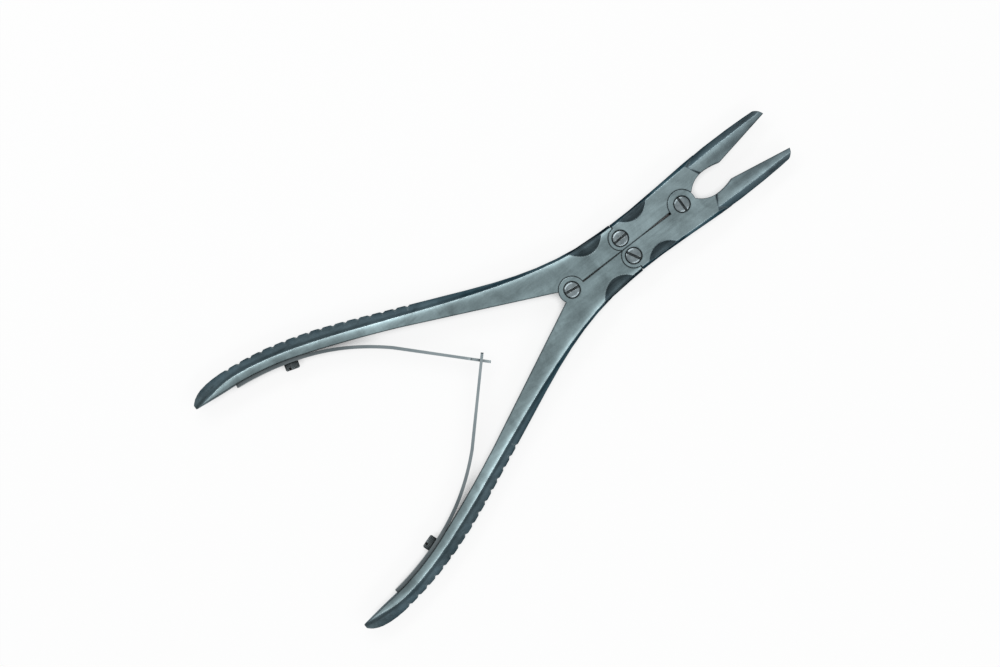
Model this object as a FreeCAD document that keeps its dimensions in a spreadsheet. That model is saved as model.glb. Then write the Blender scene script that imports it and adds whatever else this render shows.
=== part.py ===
import FreeCAD, Part
import math
import os
import Sketcher

# Straight double-action bone rongeur, modelled open.
# The origin is on the handle pivot, at the face that the instrument lies on.
# +X runs to the jaws, +Y to the upper handle, +Z along the pivot screws to their heads.

Vector = FreeCAD.Vector
doc = FreeCAD.newDocument("bone_rongeur")

# Driving dimensions, in millimetres and degrees
SIZES = {
    # joint block
    "thickness": 9.0,
    "half_width": 9.8,
    "edge_crown": 1.0,
    "link_reach": 24.4,
    "link_offset": 3.8,
    "handle_boss_radius": 4.7,
    "jaw_boss_radius": 5.1,
    "link_boss_radius": 4.25,
    "boss_clearance": 0.12,
    "lap_gap": 0.06,
    "slit_half": 0.05,
    "slit_handle_end": 0.18,
    "slit_jaw_end": 0.4,
    "end_gap": 0.3,
    # rounded nose that runs along every forged edge
    "nose_depth": 0.45,
    "nose_rise": 1.4,
    # dark hollows in the block's outer edges
    "scallop_radius": 11.0,
    "scallop_slope": 35.0,
    "scallop_edge": 5.7,
    "handle_scallop_x": 10.6,
    "jaw_scallop_x": 9.0,
    # handle, inner side
    "crotch_slope": 25.6,
    "bend_x": 56.0,
    "waist_bulge": 0.0095,
    "seat_x": 90.0,
    "seat_y": 40.8,
    "palm_bulge": 0.0342,
    "heel_x": 118.0,
    "heel_y": 46.7,
    "butt_x": 132.0,
    "butt_y": 48.2,
    # finger ribs on the handle's outer face
    "rib_start": 48.0,
    "rib_end": 114.5,
    "rib_pitch": 4.5,
    "rib_groove_mouth": 1.8,
    "rib_groove_depth": 0.55,
    "rib_ring_radius": 4.0,
    "rib_wrap": 104.0,
    # jaws
    "jaw_angle": 10.1,
    "bite_clearance": 0.04,
    "jaw_horn_x": 5.2,
    "jaw_horn_y": 1.35,
    "arch_bulge": 0.105,
    "arch_x": 12.6,
    "arch_y": 4.6,
    "run_bulge": 0.044,
    "heel_bite_x": 19.6,
    "nose_x": 42.3,
    "nose_back": 5.4,
    "nose_height": 3.56,
    "nose_bulge": 0.184,
    "horn_root": 0.5,
    "plateau_end": 10.0,
    "plateau_y": 7.0,
    "plateau_skew": 25.6,
    "plateau_slope": 40.0,
    "cup_length": 18.0,
    "cup_heel_radius": 2.2,
    "cup_tip_radius": 1.5,
    "cup_rise": 0.35,
    "cup_rim": 0.7,
    # pivot screws
    "screw_head_radius": 2.8,
    "screw_head_height": 1.5,
    "screw_crown": 0.45,
    "screw_shoulder_share": 0.7,
    "screw_shoulder_rise": 0.3,
    "screw_recess": 0.1,
    "screw_shank_radius": 1.9,
    "screw_thread_radius": 1.5,
    "screw_slot_width": 0.9,
    "screw_slot_depth": 0.95,
    "screw_end_gap": 0.25,
    "shank_clearance": 0.05,
    "thread_clearance": 0.02,
    "head_clearance": 0.2,
    # leaf springs and their screws
    "leaf_seat_gap": 0.08,
    "leaf_thickness": 1.3,
    "leaf_tip_thickness": 1.0,
    "leaf_width": 6.4,
    "leaf_tip_width": 4.4,
    "leaf_cross_x": 40.3,
    "tongue_width": 1.6,
    "tongue_length": 3.4,
    "window_clearance": 0.3,
    "window_length": 3.6,
    "leaf_screw_x": 93.2,
    "leaf_tail_reach": 20.3,
    "leaf_clamp_reach": 2.2,
    "leaf_screw_head_radius": 2.6,
    "leaf_screw_head_height": 2.5,
    "leaf_screw_chamfer": 0.45,
    "leaf_screw_shank_radius": 1.1,
    "leaf_screw_length": 4.5,
    "leaf_hole_clearance": 0.25,
    "leaf_hole_depth": 5.0,
    "leaf_eye_length": 2.8,
}

# Stations of the forged blanks: distance from the pivot, outer edge, depth of the sloping edge
HANDLE_STATIONS = {
    "throat": (-10.0, 10.8, 1.0),
    "flare": (5.0, 13.8, 1.1),
    "shoulder": (20.0, 18.9, 1.8),
    "shank": (38.0, 26.6, 3.0),
    "grip": (60.0, 36.2, 3.8),
    "middle": (80.0, 44.6, 4.3),
    "swell": (98.0, 50.1, 3.9),
    "end": (112.0, 52.5, 3.6),
}
BLOCK_STATIONS = {
    "neck": (33.0, 9.8, 1.0),
    "cheek": (46.0, 10.4, 1.0),
    "brow": (58.0, 11.1, 1.2),
    "fade": (68.0, 11.4, 1.5),
}
# The handle's round end has its own half height, above the flat faces where it starts
TIP_STATIONS = {
    "taper": (119.0, 53.05, 4.6, 4.9),
    "nub": (124.8, 52.5, 4.4, 3.9),
    "cap": (128.2, 51.1, 3.2, 2.6),
    "last": (129.8, 49.7, 1.5, 1.6),
}
# The jaws: as above, and how far the top falls from its crest to the inner side
JAW_STATIONS = {
    "hilt": (50.0, 10.5, 2.2, 4.6, 0.5),
    "root": (58.0, 10.95, 2.3, 4.3, 0.7),
    "belly": (67.0, 11.3, 2.4, 3.8, 1.3),
    "reach": (77.0, 11.2, 2.3, 3.2, 1.6),
    "beak": (84.5, 10.9, 2.1, 2.65, 1.6),
    "snout": (88.6, 10.6, 1.8, 2.25, 1.4),
    "point": (91.6, 10.2, 1.1, 1.6, 0.7),
}
# A leaf spring's free part: distance of its centre line from the pivot, and its height
LEAF_STATIONS = {
    "spring": (76.0, 33.3),
    "blade": (62.0, 22.6),
}

sheet = doc.addObject("Spreadsheet::Sheet", "Sizes")
cells = dict(SIZES)
for table in (HANDLE_STATIONS, TIP_STATIONS, BLOCK_STATIONS, JAW_STATIONS):
    for station, numbers in table.items():
        for part, number in zip(("station", "outer", "crown", "rise", "fall"), numbers):
            cells[f"{station}_{part}"] = number
for station, numbers in LEAF_STATIONS.items():
    for part, number in zip(("along", "height"), numbers):
        cells[f"{station}_{part}"] = number
for row, (name, number) in enumerate(cells.items(), 1):
    sheet.set(f"A{row}", name)
    sheet.set(f"B{row}", str(number))
    sheet.setAlias(f"B{row}", name)
doc.recompute()


class Size:
    """A number that keeps the spreadsheet expression it is worked out from."""

    def __init__(self, value, text=None):
        self.value = float(value)
        self.text = text or f"({float(value)})"

    def __add__(self, other):
        other = as_size(other)
        return Size(self.value + other.value, f"({self.text} + {other.text})")

    def __sub__(self, other):
        other = as_size(other)
        return Size(self.value - other.value, f"({self.text} - {other.text})")

    def __mul__(self, other):
        other = as_size(other)
        return Size(self.value * other.value, f"({self.text} * {other.text})")

    def __truediv__(self, other):
        other = as_size(other)
        return Size(self.value / other.value, f"({self.text} / {other.text})")

    def __neg__(self):
        return Size(-self.value, f"(-1 * {self.text})")

    __radd__ = __add__
    __rmul__ = __mul__

    def __rsub__(self, other):
        return as_size(other) - self


def as_size(number):
    return number if isinstance(number, Size) else Size(number)


def cell(name):
    return Size(getattr(sheet, name), f"Sizes.{name}")


def sine(angle):
    return Size(math.sin(math.radians(angle.value)), f"sin({angle.text} * 1 deg)")


def cosine(angle):
    return Size(math.cos(math.radians(angle.value)), f"cos({angle.text} * 1 deg)")


def bind(item, **properties):
    for name, size in properties.items():
        item.setExpression(name, as_size(size).text)
    return item


def place(item, x, y, z, rotation=FreeCAD.Rotation()):
    x, y, z = as_size(x), as_size(y), as_size(z)
    item.Placement = FreeCAD.Placement(Vector(x.value, y.value, z.value), rotation)
    for axis, size in zip("xyz", (x, y, z)):
        item.setExpression(f"Placement.Base.{axis}", size.text)
    return item


def cylinder(name, radius, height):
    return bind(doc.addObject("Part::Cylinder", name), Radius=radius, Height=height)


def box(name, length, width, height):
    return bind(doc.addObject("Part::Box", name), Length=length, Width=width, Height=height)


def frame(along, up):
    """Rotation that lays local X along one direction and local Z up another."""
    return FreeCAD.Rotation(along, up.cross(along), up, "ZXY")


def join(name, pieces):
    item = doc.addObject("Part::MultiFuse", name)
    item.Shapes = pieces
    return item


def pair(kind, name, base, tool):
    item = doc.addObject(kind, name)
    item.Base = base
    item.Tool = tool
    return item


def draw(sketch, corners, side=1):
    """Closed outline of lines; ("arc", x, y) between two corners bends that edge through a point."""
    spots = [(as_size(x), side * as_size(y)) for *_, x, y in corners]
    bends = {index for index, corner in enumerate(corners) if corner[0] == "arc"}
    ends = []
    solid = [index for index in range(len(corners)) if index not in bends]
    for index, following in zip(solid, solid[1:] + solid[:1]):
        start, stop = (Vector(*(size.value for size in spots[spot])) for spot in (index, following))
        if index + 1 not in bends:
            ends.append((sketch.addGeometry(Part.LineSegment(start, stop), False), 1, 2))
            continue
        via = Vector(*(size.value for size in spots[index + 1]))
        turn = (via - start).cross(stop - via).z
        edge = sketch.addGeometry(Part.Arc(start, via, stop), False)
        ends.append((edge, 1, 2) if turn > 0 else (edge, 2, 1))
        mark = sketch.addGeometry(Part.Point(via), True)
        fix(sketch, mark, 1, spots[index + 1])
        sketch.addConstraint(Sketcher.Constraint("PointOnObject", mark, 1, edge))
    for place_in_line, (edge, first, last) in enumerate(ends):
        following, joined, _ = ends[(place_in_line + 1) % len(ends)]
        fix(sketch, edge, first, spots[solid[place_in_line]])
        sketch.addConstraint(Sketcher.Constraint("Coincident", edge, last, following, joined))
    return sketch


def bulged(start, stop, share):
    """Middle point of an arc between two corners, as far from their line as a share of its length."""
    x, y = start
    x2, y2 = stop
    return "arc", (x + x2) / 2 - share * (y2 - y), (y + y2) / 2 + share * (x2 - x)


def fix(sketch, edge, end, point):
    for kind, size in zip(("DistanceX", "DistanceY"), point):
        number = sketch.addConstraint(Sketcher.Constraint(kind, -1, 1, edge, end, size.value))
        sketch.setExpression(f"Constraints[{number}]", size.text)


thickness = cell("thickness")
middle = thickness / 2
lap_gap = cell("lap_gap")
link_reach = cell("link_reach")
link_offset = cell("link_offset")
jaw_pivot_x = 2 * link_reach
boss_clearance = cell("boss_clearance")
slit = cell("slit_half")
ABOVE = 1.0
ACROSS = FreeCAD.Rotation(Vector(1, 1, 1), 120)


# Forged blanks: sections across an arm, joined by straight faces from one to the next

def smoothed(stations):
    """Adds a station halfway between each two, on a smooth curve through their neighbours."""
    def slope(index, part):
        low, high = stations[max(index - 1, 0)], stations[min(index + 1, len(stations) - 1)]
        return (high[part] - low[part]) / (high[0] - low[0])

    spaced = []
    for index, (start, stop) in enumerate(zip(stations, stations[1:])):
        halfway = [(start[0] + stop[0]) / 2]
        for part in range(1, len(start)):
            bend = (slope(index, part) - slope(index + 1, part)) * (stop[0] - start[0]) / 8
            halfway.append((start[part] + stop[part]) / 2 + bend)
        spaced += [start, halfway]
    return spaced + stations[-1:]


def read_stations(table, direction):
    parts = ("station", "outer", "crown", "rise", "fall")
    return [[direction * cell(f"{name}_station")]
            + [cell(f"{name}_{part}") for part in parts[1:len(table[name])]] for name in table]


def full_height(x, outer, crown):
    """A station whose flanks run on past both flat faces, to which the stock is ground down."""
    rise = middle + ABOVE
    stretch = (rise - cell("nose_rise")) / (middle - cell("nose_rise"))
    return [x, outer, cell("nose_depth") + (crown - cell("nose_depth")) * stretch, rise]


def forged_section(name, station, inner, side):
    """Sloping flanks above and below a rounded nose; the top may fall from its crest inwards."""
    x, outer, crown, rise, *fall = station
    back = rise - fall[0] if fall else rise
    nose, level = outer - cell("nose_depth"), cell("nose_rise")
    corners = [
        (inner, middle - back), (outer - crown, middle - rise), (nose, middle - level),
        ("arc", outer, middle),
        (nose, middle + level), (outer - crown, middle + rise), (inner, middle + back)]
    corners = [(*lead, side * as_size(y), z) for *lead, y, z in corners]
    return place(draw(doc.addObject("Sketcher::SketchObject", name), corners), x, 0, 0, ACROSS)


def loft(name, sections, ruled=False):
    item = doc.addObject("Part::Loft", name)
    item.Sections = sections
    item.Solid = True
    item.Ruled = ruled
    return item


def forging(name, stations, inner, side):
    sections = [forged_section(f"{name}_section_{number}", station, inner, side)
                for number, station in enumerate(stations, 1)]
    return loft(name, sections, ruled=True)


# Lap joints: each arm keeps one half of its thickness round a pivot

def lap_disc(name, x, y, radius, on_top):
    bottom = middle + lap_gap / 2 if on_top else Size(0)
    return place(cylinder(name, radius, middle - lap_gap / 2), x, y, bottom)


def lap_recess(name, x, y, radius, on_top):
    bottom = middle - lap_gap / 2 if on_top else Size(-ABOVE)
    return place(cylinder(name, radius + boss_clearance, middle + lap_gap / 2 + ABOVE), x, y, bottom)


def head_hole(name, x, y):
    """Counterbore for a screw head with the running hole for its shank below."""
    sink = cell("screw_head_height") + cell("screw_recess")
    seat = cylinder(name + "_seat", cell("screw_head_radius") + cell("head_clearance"), sink + ABOVE)
    bore = cylinder(name + "_bore", cell("screw_shank_radius") + cell("shank_clearance"), thickness)
    return [place(seat, x, y, thickness - sink), place(bore, x, y, middle - ABOVE)]


def thread_hole(name, x, y):
    radius = cell("screw_thread_radius") + cell("thread_clearance")
    return place(cylinder(name + "_thread", radius, middle + 2 * ABOVE), x, y, -ABOVE)


def scallop(name, x, side):
    """Two sloping round hollows, top and bottom, in the block's outer edge."""
    slope = math.radians(sheet.scallop_slope)
    radius = cell("scallop_radius")
    rise, run = cosine(cell("scallop_slope")), sine(cell("scallop_slope"))
    length = 3 * radius
    hollows = []
    for label, up in (("top", 1), ("bottom", -1)):
        axis = Vector(0, side * math.cos(slope), -up * math.sin(slope))
        level = thickness if up > 0 else Size(0)
        y = side * (cell("scallop_edge") + radius * run - length / 2 * rise)
        z = level + up * (radius * rise + length / 2 * run)
        hollow = cylinder(f"{name}_{label}", radius, length)
        hollows.append(place(hollow, x, y, z, FreeCAD.Rotation(Vector(0, 0, 1), axis)))
    return hollows


def centre_waste(name, side):
    """Stock past the centre line that the round link boss would reach."""
    width = 2 * cell("link_boss_radius")
    y = slit - width if side > 0 else -slit
    x = cell("handle_boss_radius") + 2 * boss_clearance
    length = jaw_pivot_x - cell("jaw_boss_radius") - cell("handle_boss_radius") - 4 * boss_clearance
    return place(box(name, length, width, thickness + 2 * ABOVE), x, y, -ABOVE)


# Handles

def crotch(x):
    """Height of the handle's straight inner edge at a distance behind the pivot."""
    slope = cell("crotch_slope")
    return x * sine(slope) / cosine(slope) + slit


def handle_plan(name, side):
    end = link_reach - cell("end_gap")
    far = cell("taper_outer") + ABOVE
    bend = (-cell("bend_x"), crotch(cell("bend_x")))
    seat = (-cell("seat_x"), cell("seat_y"))
    heel = (-cell("heel_x"), cell("heel_y"))
    return draw(doc.addObject("Sketcher::SketchObject", name), [
        (end, slit),
        (cell("handle_boss_radius"), cell("slit_handle_end")),
        (0, cell("slit_handle_end")),
        bend, bulged(bend, seat, -cell("waist_bulge")),
        seat, bulged(seat, heel, -cell("palm_bulge")), heel,
        (-cell("butt_x"), cell("butt_y")),
        (-cell("butt_x"), far),
        (end, far),
    ], side)


def prism(name, sketch):
    item = doc.addObject("Part::Extrusion", name)
    item.Base = sketch
    item.DirMode = "Custom"
    item.Dir = Vector(0, 0, 1)
    item.Solid = True
    return bind(item, LengthFwd=thickness)


def handle_stations():
    start = full_height(link_reach + cell("link_boss_radius") + ABOVE, cell("half_width"),
                        cell("edge_crown"))
    arm = [full_height(*station) for station in read_stations(HANDLE_STATIONS, -1)]
    return smoothed([start] + arm + read_stations(TIP_STATIONS, -1))


def groove_cutter(name, spot, heading, side):
    """Ring with a V section, which runs deepest over the nose and fades out on the flanks."""
    tangent = Vector(math.cos(heading), side * math.sin(heading), 0)
    outward = Vector(-math.sin(heading), side * math.cos(heading), 0)
    ring, mouth, depth = cell("rib_ring_radius"), cell("rib_groove_mouth"), cell("rib_groove_depth")
    sketch = doc.addObject("Sketcher::SketchObject", name + "_section")
    draw(sketch, [(ring, 0), (ring + 2 * depth, -mouth), (ring + 2 * depth, mouth)])
    centre = spot - outward * (ring.value + depth.value)
    sketch.Placement = FreeCAD.Placement(centre, FreeCAD.Rotation(outward, tangent, Vector(), "XYZ"))
    cutter = doc.addObject("Part::Revolution", name)
    cutter.Source = sketch
    cutter.Axis = tangent
    cutter.Base = centre
    cutter.Symmetric = True
    cutter.Solid = True
    return bind(cutter, Angle=cell("rib_wrap"))


def rib_cutters(name, side):
    """Grooves at even steps along the outer edge, which leave the finger ribs between them."""
    cutters = []
    edge = [Vector(x.value, outer.value, 0) for x, outer, *_ in handle_stations()
            if x.value < -sheet.rib_start]
    ahead = 0.0
    for near, far in zip(edge, edge[1:]):
        step = far - near
        heading = math.atan2(-step.y, -step.x)
        while ahead < step.Length:
            spot = near + step * (ahead / step.Length)
            if spot.x < -sheet.rib_end:
                return cutters
            cutters.append(groove_cutter(f"{name}_groove_{len(cutters) + 1}",
                                         Vector(spot.x, side * spot.y, middle.value), heading, side))
            ahead += sheet.rib_pitch
        ahead -= step.Length
    return cutters


def inner_face(along, side):
    """Point on the handle's curved inner face at a distance from the pivot, and the way out of it."""
    seat, heel = (Vector(-getattr(sheet, name + "_x"), getattr(sheet, name + "_y"), 0)
                  for name in ("seat", "heel"))
    chord = heel - seat
    palm = (seat + heel) / 2 + Vector(chord.y, -chord.x, 0) * sheet.palm_bulge
    face = Part.Arc(seat, palm, heel).toShape().Curve
    run = -along - face.Center.x
    spot = face.Center + Vector(run, math.sqrt(face.Radius ** 2 - run ** 2), 0)
    out = (face.Center - spot).normalize()
    return Vector(spot.x, side * spot.y, middle.value), Vector(out.x, side * out.y, 0)


def handle(name, side, pivot_on_top):
    inner = -cell("link_boss_radius") - ABOVE
    blank = forging(name + "_blank", handle_stations(), inner, side)
    plan = prism(name + "_prism", handle_plan(name + "_plan", side))
    boss = cell("handle_boss_radius")
    link_disc = lap_disc(name + "_link_disc", link_reach, side * link_offset,
                         cell("link_boss_radius"), False)
    arms = join(name + "_arms", [plan, link_disc])
    trimmed = pair("Part::Cut", name + "_trimmed", arms, centre_waste(name + "_waste", side))
    pivot_disc = lap_disc(name + "_pivot_disc", 0, 0, boss, pivot_on_top)
    envelope = join(name + "_envelope", [trimmed, pivot_disc])
    rough = pair("Part::Common", name + "_rough", blank, envelope)
    tools = [
        lap_recess(name + "_pivot_recess", 0, 0, boss, not pivot_on_top),
        lap_recess(name + "_link_recess", link_reach, side * link_offset,
                   cell("link_boss_radius"), True),
        thread_hole(name + "_link", link_reach, side * link_offset),
    ]
    if pivot_on_top:
        tools += head_hole(name + "_pivot", 0, 0)
    else:
        tools.append(thread_hole(name + "_pivot", 0, 0))
    tools += scallop(name + "_scallop", link_reach - cell("handle_scallop_x"), side)
    tools += rib_cutters(name, side)
    spot, out = inner_face(sheet.leaf_screw_x, side)
    hole = cylinder(name + "_leaf_hole", cell("leaf_screw_shank_radius") + cell("thread_clearance"),
                    cell("leaf_hole_depth") + ABOVE)
    hole.Placement = FreeCAD.Placement(spot - out * sheet.leaf_hole_depth,
                                       FreeCAD.Rotation(Vector(0, 0, 1), out))
    tools.append(hole)
    finished = pair("Part::Cut", name, rough, join(name + "_tools", tools))
    finished.Label = name
    return finished


handles = [handle("handle_upper", 1, False), handle("handle_lower", -1, True)]


# Jaws

def bite(x, clearance):
    """Height of the closing edge at a distance past the jaw pivot: it points at the pivot."""
    angle = cell("jaw_angle")
    return x * sine(angle) / cosine(angle) + clearance


def jaw_plan(name, side):
    gap = cell("bite_clearance")
    horn = (jaw_pivot_x + cell("jaw_horn_x"), cell("jaw_horn_y"))
    arch = (jaw_pivot_x + cell("arch_x"), cell("arch_y"))
    heel = (jaw_pivot_x + cell("heel_bite_x"), bite(cell("heel_bite_x"), gap))
    nose = (jaw_pivot_x + cell("nose_x"), bite(cell("nose_x"), gap))
    back = (nose[0] - cell("nose_back"), nose[1] + cell("nose_height"))
    far = cell("fade_outer") + ABOVE
    return draw(doc.addObject("Sketcher::SketchObject", name), [
        (link_reach, slit),
        (link_reach * 5 / 4, slit),
        (jaw_pivot_x - cell("jaw_boss_radius"), cell("slit_jaw_end")),
        (jaw_pivot_x, cell("slit_jaw_end")),
        horn, bulged(horn, arch, cell("arch_bulge")),
        arch, bulged(arch, heel, cell("run_bulge")), heel,
        nose, bulged(nose, back, -cell("nose_bulge")), back,
        (back[0], far),
        (link_reach, far),
    ], side)


def plateau_cutters(name, side):
    """Slopes that end the flat faces of the block where the jaw begins."""
    size = 3 * sheet.half_width
    cutters = []
    for label, up in (("top", 1), ("bottom", -1)):
        turn = FreeCAD.Rotation(Vector(0, 0, 1), side * sheet.plateau_skew)
        tilt = FreeCAD.Rotation(Vector(0, 1, 0), up * sheet.plateau_slope)
        rotation = turn * tilt
        anchor = Vector(2 * sheet.link_reach + sheet.plateau_end, side * sheet.plateau_y,
                        thickness.value if up > 0 else 0)
        corner = anchor - rotation.multVec(Vector(0, size / 2, 0 if up > 0 else size / 3))
        item = box(f"{name}_{label}", 3 * cell("half_width"), 3 * cell("half_width"), cell("half_width"))
        item.Placement = FreeCAD.Placement(corner, rotation)
        cutters.append(item)
    return cutters


def cup(name, side):
    """Hollow in the biting face, with a cutting rim left all round."""
    heel, tip = cell("cup_heel_radius"), cell("cup_tip_radius")
    rise, length = cell("cup_rise"), cell("cup_length")
    turn = FreeCAD.Rotation(Vector(0, 0, 1), side * sheet.jaw_angle)
    lie = turn * FreeCAD.Rotation(Vector(0, 0, 1), Vector(1, 0, 0))
    far = sheet.nose_x - sheet.cup_rim - sheet.cup_tip_radius
    near = far - sheet.cup_length + sheet.cup_tip_radius + sheet.cup_heel_radius
    pivot = Vector(2 * sheet.link_reach, 0, middle.value)
    start = pivot + turn.multVec(Vector(near, -side * sheet.cup_rise, 0))
    stop = pivot + turn.multVec(Vector(far, -side * sheet.cup_rise, 0))
    body = bind(doc.addObject("Part::Cone", name + "_body"), Radius1=heel, Radius2=tip,
                Height=length - heel - tip)
    body.Placement = FreeCAD.Placement(start, lie)
    ends = []
    for label, spot, radius in (("heel", start, heel), ("tip", stop, tip)):
        end = bind(doc.addObject("Part::Sphere", f"{name}_{label}"), Radius=radius)
        end.Placement = FreeCAD.Placement(spot, lie)
        ends.append(end)
    return join(name, [body] + ends)


def jaw(name, side, pivot_on_top):
    inner = -cell("jaw_boss_radius") - ABOVE
    start = full_height(link_reach - cell("link_boss_radius") - ABOVE, cell("half_width"),
                        cell("edge_crown"))
    arm = [start] + [full_height(*station) for station in read_stations(BLOCK_STATIONS, 1)]
    block = forging(name + "_block", arm, inner, side)
    slopes = join(name + "_slopes", plateau_cutters(name + "_slope", side))
    block = pair("Part::Cut", name + "_sloped", block, slopes)
    horn = forging(name + "_horn", read_stations(JAW_STATIONS, 1), cell("horn_root"), side)
    blank = join(name + "_blank", [block, horn])
    plan = prism(name + "_prism", jaw_plan(name + "_plan", side))
    boss = cell("jaw_boss_radius")
    link_disc = lap_disc(name + "_link_disc", link_reach, side * link_offset,
                         cell("link_boss_radius"), True)
    arms = join(name + "_arms", [plan, link_disc])
    trimmed = pair("Part::Cut", name + "_trimmed", arms, centre_waste(name + "_waste", side))
    pivot_disc = lap_disc(name + "_pivot_disc", jaw_pivot_x, 0, boss, pivot_on_top)
    envelope = join(name + "_envelope", [trimmed, pivot_disc])
    rough = pair("Part::Common", name + "_rough", blank, envelope)
    tools = [
        lap_recess(name + "_pivot_recess", jaw_pivot_x, 0, boss, not pivot_on_top),
        lap_recess(name + "_link_recess", link_reach, side * link_offset,
                   cell("link_boss_radius"), False),
        cup(name + "_cup", side),
    ]
    tools += head_hole(name + "_link", link_reach, side * link_offset)
    if pivot_on_top:
        tools += head_hole(name + "_pivot", jaw_pivot_x, 0)
    else:
        tools.append(thread_hole(name + "_pivot", jaw_pivot_x, 0))
    tools += scallop(name + "_scallop", link_reach + cell("jaw_scallop_x"), side)
    finished = pair("Part::Cut", name, rough, join(name + "_tools", tools))
    finished.Label = name
    return finished


jaws = [jaw("jaw_upper", 1, False), jaw("jaw_lower", -1, True)]


# Screws: turned blanks with a milled slot

def sketch_in(body, name, role):
    sketch = body.newObject("Sketcher::SketchObject", name)
    plane = next(item for item in body.Origin.OriginFeatures if item.Role == role)
    sketch.AttachmentSupport = [(plane, "")]
    sketch.MapMode = "FlatFace"
    return sketch


def turned_screw(name, profile, slot_width, slot_depth, slot_length, top):
    body = doc.addObject("PartDesign::Body", name)
    outline = draw(sketch_in(body, name + "_profile", "XZ_Plane"), profile)
    turned = body.newObject("PartDesign::Revolution", name + "_turned")
    turned.Profile = outline
    turned.ReferenceAxis = (outline, ["V_Axis"])
    turned.Angle = 360
    slot = draw(sketch_in(body, name + "_slot_plan", "XY_Plane"), [
        (-slot_length, -slot_width / 2), (slot_length, -slot_width / 2),
        (slot_length, slot_width / 2), (-slot_length, slot_width / 2)])
    slot.setExpression("AttachmentOffset.Base.z", top.text)
    doc.recompute()
    cut = body.newObject("PartDesign::Pocket", name + "_slot")
    cut.Profile = slot
    cut.setExpression("Length", slot_depth.text)
    body.Tip = cut
    body.Label = name
    return body


def pivot_screw(name, x, y, slot_heading):
    head, shank, thread = (cell(f"screw_{part}_radius") for part in ("head", "shank", "thread"))
    low = cell("screw_end_gap")
    neck = middle - cell("lap_gap") / 2
    under = thickness - cell("screw_recess") - cell("screw_head_height") + cell("shank_clearance")
    rim = thickness - cell("screw_recess")
    top = rim + cell("screw_crown")
    shoulder = head * cell("screw_shoulder_share")
    body = turned_screw(name, [
        (0, low), (thread, low), (thread, neck), (shank, neck), (shank, under), (head, under),
        (head, rim), (shoulder, rim + cell("screw_shoulder_rise")), (0, top),
    ], cell("screw_slot_width"), cell("screw_slot_depth"), head + ABOVE, top)
    return place(body, x, y, 0, FreeCAD.Rotation(Vector(0, 0, 1), slot_heading))


screws = [
    pivot_screw("handle_pivot_screw", 0, 0, -8),
    pivot_screw("jaw_pivot_screw", jaw_pivot_x, 0, 88),
    pivot_screw("upper_link_screw", link_reach, link_offset, 2),
    pivot_screw("lower_link_screw", link_reach, -link_offset, -62),
]


def leaf_screw(name, side):
    head, shank = cell("leaf_screw_head_radius"), cell("leaf_screw_shank_radius")
    height, length = cell("leaf_screw_head_height"), cell("leaf_screw_length")
    stand = cell("leaf_seat_gap") * 2 + cell("leaf_thickness")
    chamfer = cell("leaf_screw_chamfer")
    top = stand + height
    body = turned_screw(name, [
        (0, -length), (shank, -length), (shank, stand), (head, stand),
        (head, top - chamfer), (head - chamfer, top), (0, top),
    ], cell("screw_slot_width"), cell("screw_slot_depth"), head + ABOVE, top)
    spot, out = inner_face(sheet.leaf_screw_x, side)
    body.Placement = FreeCAD.Placement(spot, FreeCAD.Rotation(Vector(0, 0, 1), out))
    return body


screws += [leaf_screw("spring_screw_upper", 1), leaf_screw("spring_screw_lower", -1)]


# Leaf springs: rolled strip, tapered to the tip, hooked together where they cross

SEAT_STEPS = 3
BLADE_STEPS = 3


def leaf_line(side):
    """Places and headings down a leaf: foot on the handle, bend, then straight to the crossing."""
    tail = sheet.leaf_screw_x + sheet.leaf_tail_reach
    clamp = sheet.leaf_screw_x - sheet.leaf_clamp_reach
    spots = []
    for step in range(SEAT_STEPS + 1):
        spot, out = inner_face(tail + (clamp - tail) * step / SEAT_STEPS, side)
        heading = Vector(0, 0, side).cross(out)
        spots.append((spot + out * (sheet.leaf_seat_gap + sheet.leaf_thickness / 2), heading))
    cross = Vector(-sheet.leaf_cross_x, 0, middle.value)
    free = [Vector(-getattr(sheet, name + "_along"), side * getattr(sheet, name + "_height"),
                   middle.value) for name in LEAF_STATIONS]
    for before, spot, after in zip([spots[-1][0]] + free, free, free[1:] + [cross]):
        spots.append((spot, (after - before).normalize()))
    blade = free[-1]
    heading = (cross - blade).normalize()
    spots += [(blade + (cross - blade) * step / BLADE_STEPS, heading) for step in range(1, BLADE_STEPS)]
    return spots, cross, heading


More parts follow.
